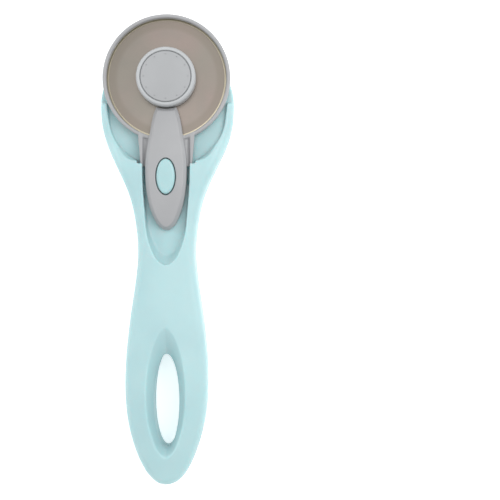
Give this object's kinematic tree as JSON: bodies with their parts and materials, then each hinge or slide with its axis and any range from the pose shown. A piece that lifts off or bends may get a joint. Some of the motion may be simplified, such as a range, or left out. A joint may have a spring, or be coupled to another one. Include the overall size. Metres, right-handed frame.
{
  "type": "rotary cutter",
  "caption": "Rotary cutter with a round 45 mm blade, a sliding ring guard locked by an oval button, and a moulded handle with a hanging loop",
  "frame": {"origin": "on the blade's axis, at the flat back of the clamp nut, which is the plane the cutter lies on", "axes": "X across the handle, Y along the handle towards the blade, Z out of the front face"},
  "size_m": [0.049, 0.1713, 0.0175],
  "materials": {
    "teal_plastic": "satin moulded ABS, fine grain",
    "button_plastic": "satin moulded plastic",
    "guard_plastic": "grey moulded plastic, satin",
    "hub_plastic": "light grey moulded plastic, satin",
    "blade_steel": "titanium-coated tool steel, warm grey",
    "bolt_steel": "zinc-plated",
    "screw_steel": "zinc-plated",
    "spring_steel": "bright spring wire",
    "insert_brass": "turned",
    "inner_plastic": "natural acetal"
  },
  "bodies": {
    "handle": {"handle_front": "teal_plastic", "handle_back": "teal_plastic", "head_screw_left": "screw_steel", "head_screw_right": "screw_steel", "neck_screw": "screw_steel", "butt_screw": "screw_steel", "blade_bolt": "bolt_steel", "hub": "hub_plastic", "hub_cap": "guard_plastic", "blade_washer": "bolt_steel"},
    "blade": {"blade": "blade_steel"},
    "nut_carrier": {"spring_washer": "spring_steel"},
    "nut": {"clamp_nut": "guard_plastic", "nut_insert": "insert_brass"},
    "guard": {"blade_guard": "guard_plastic", "guard_slide_plate": "inner_plastic", "slide_plate_screw_front": "screw_steel", "slide_plate_screw_rear": "screw_steel", "button_spring": "spring_steel"},
    "button": {"lock_button": "button_plastic"}
  },
  "joints": [
    {"name": "blade_spin", "type": "hinge", "parent": "handle", "child": "blade", "pos_m": [0, 0, 0.01155], "axis": [0, 0, 1], "continuous": true},
    {"name": "guard_slide", "type": "slide", "parent": "handle", "child": "guard", "axis": [0, -1, 0], "range_m": [0, 0.0075]},
    {"name": "button_press", "type": "slide", "parent": "guard", "child": "button", "axis": [0, 0, -1], "range_m": [0, 0.0012], "stiffness_N_per_m": 900, "springref_m": -0.001, "deforming": ["button_spring"]},
    {"name": "nut_advance", "type": "slide", "parent": "handle", "child": "nut_carrier", "axis": [0, 0, -1], "range_m": [0, 0.004]},
    {"name": "nut_turn", "type": "hinge", "parent": "nut_carrier", "child": "nut", "pos_m": [0, 0, 0.0023], "axis": [0, 0, -1], "range_deg": [0, 1440]}
  ],
  "couplings": [
    {"joint": "nut_advance", "follows": "nut_turn", "m_per_rad": 0.00015915}
  ]
}
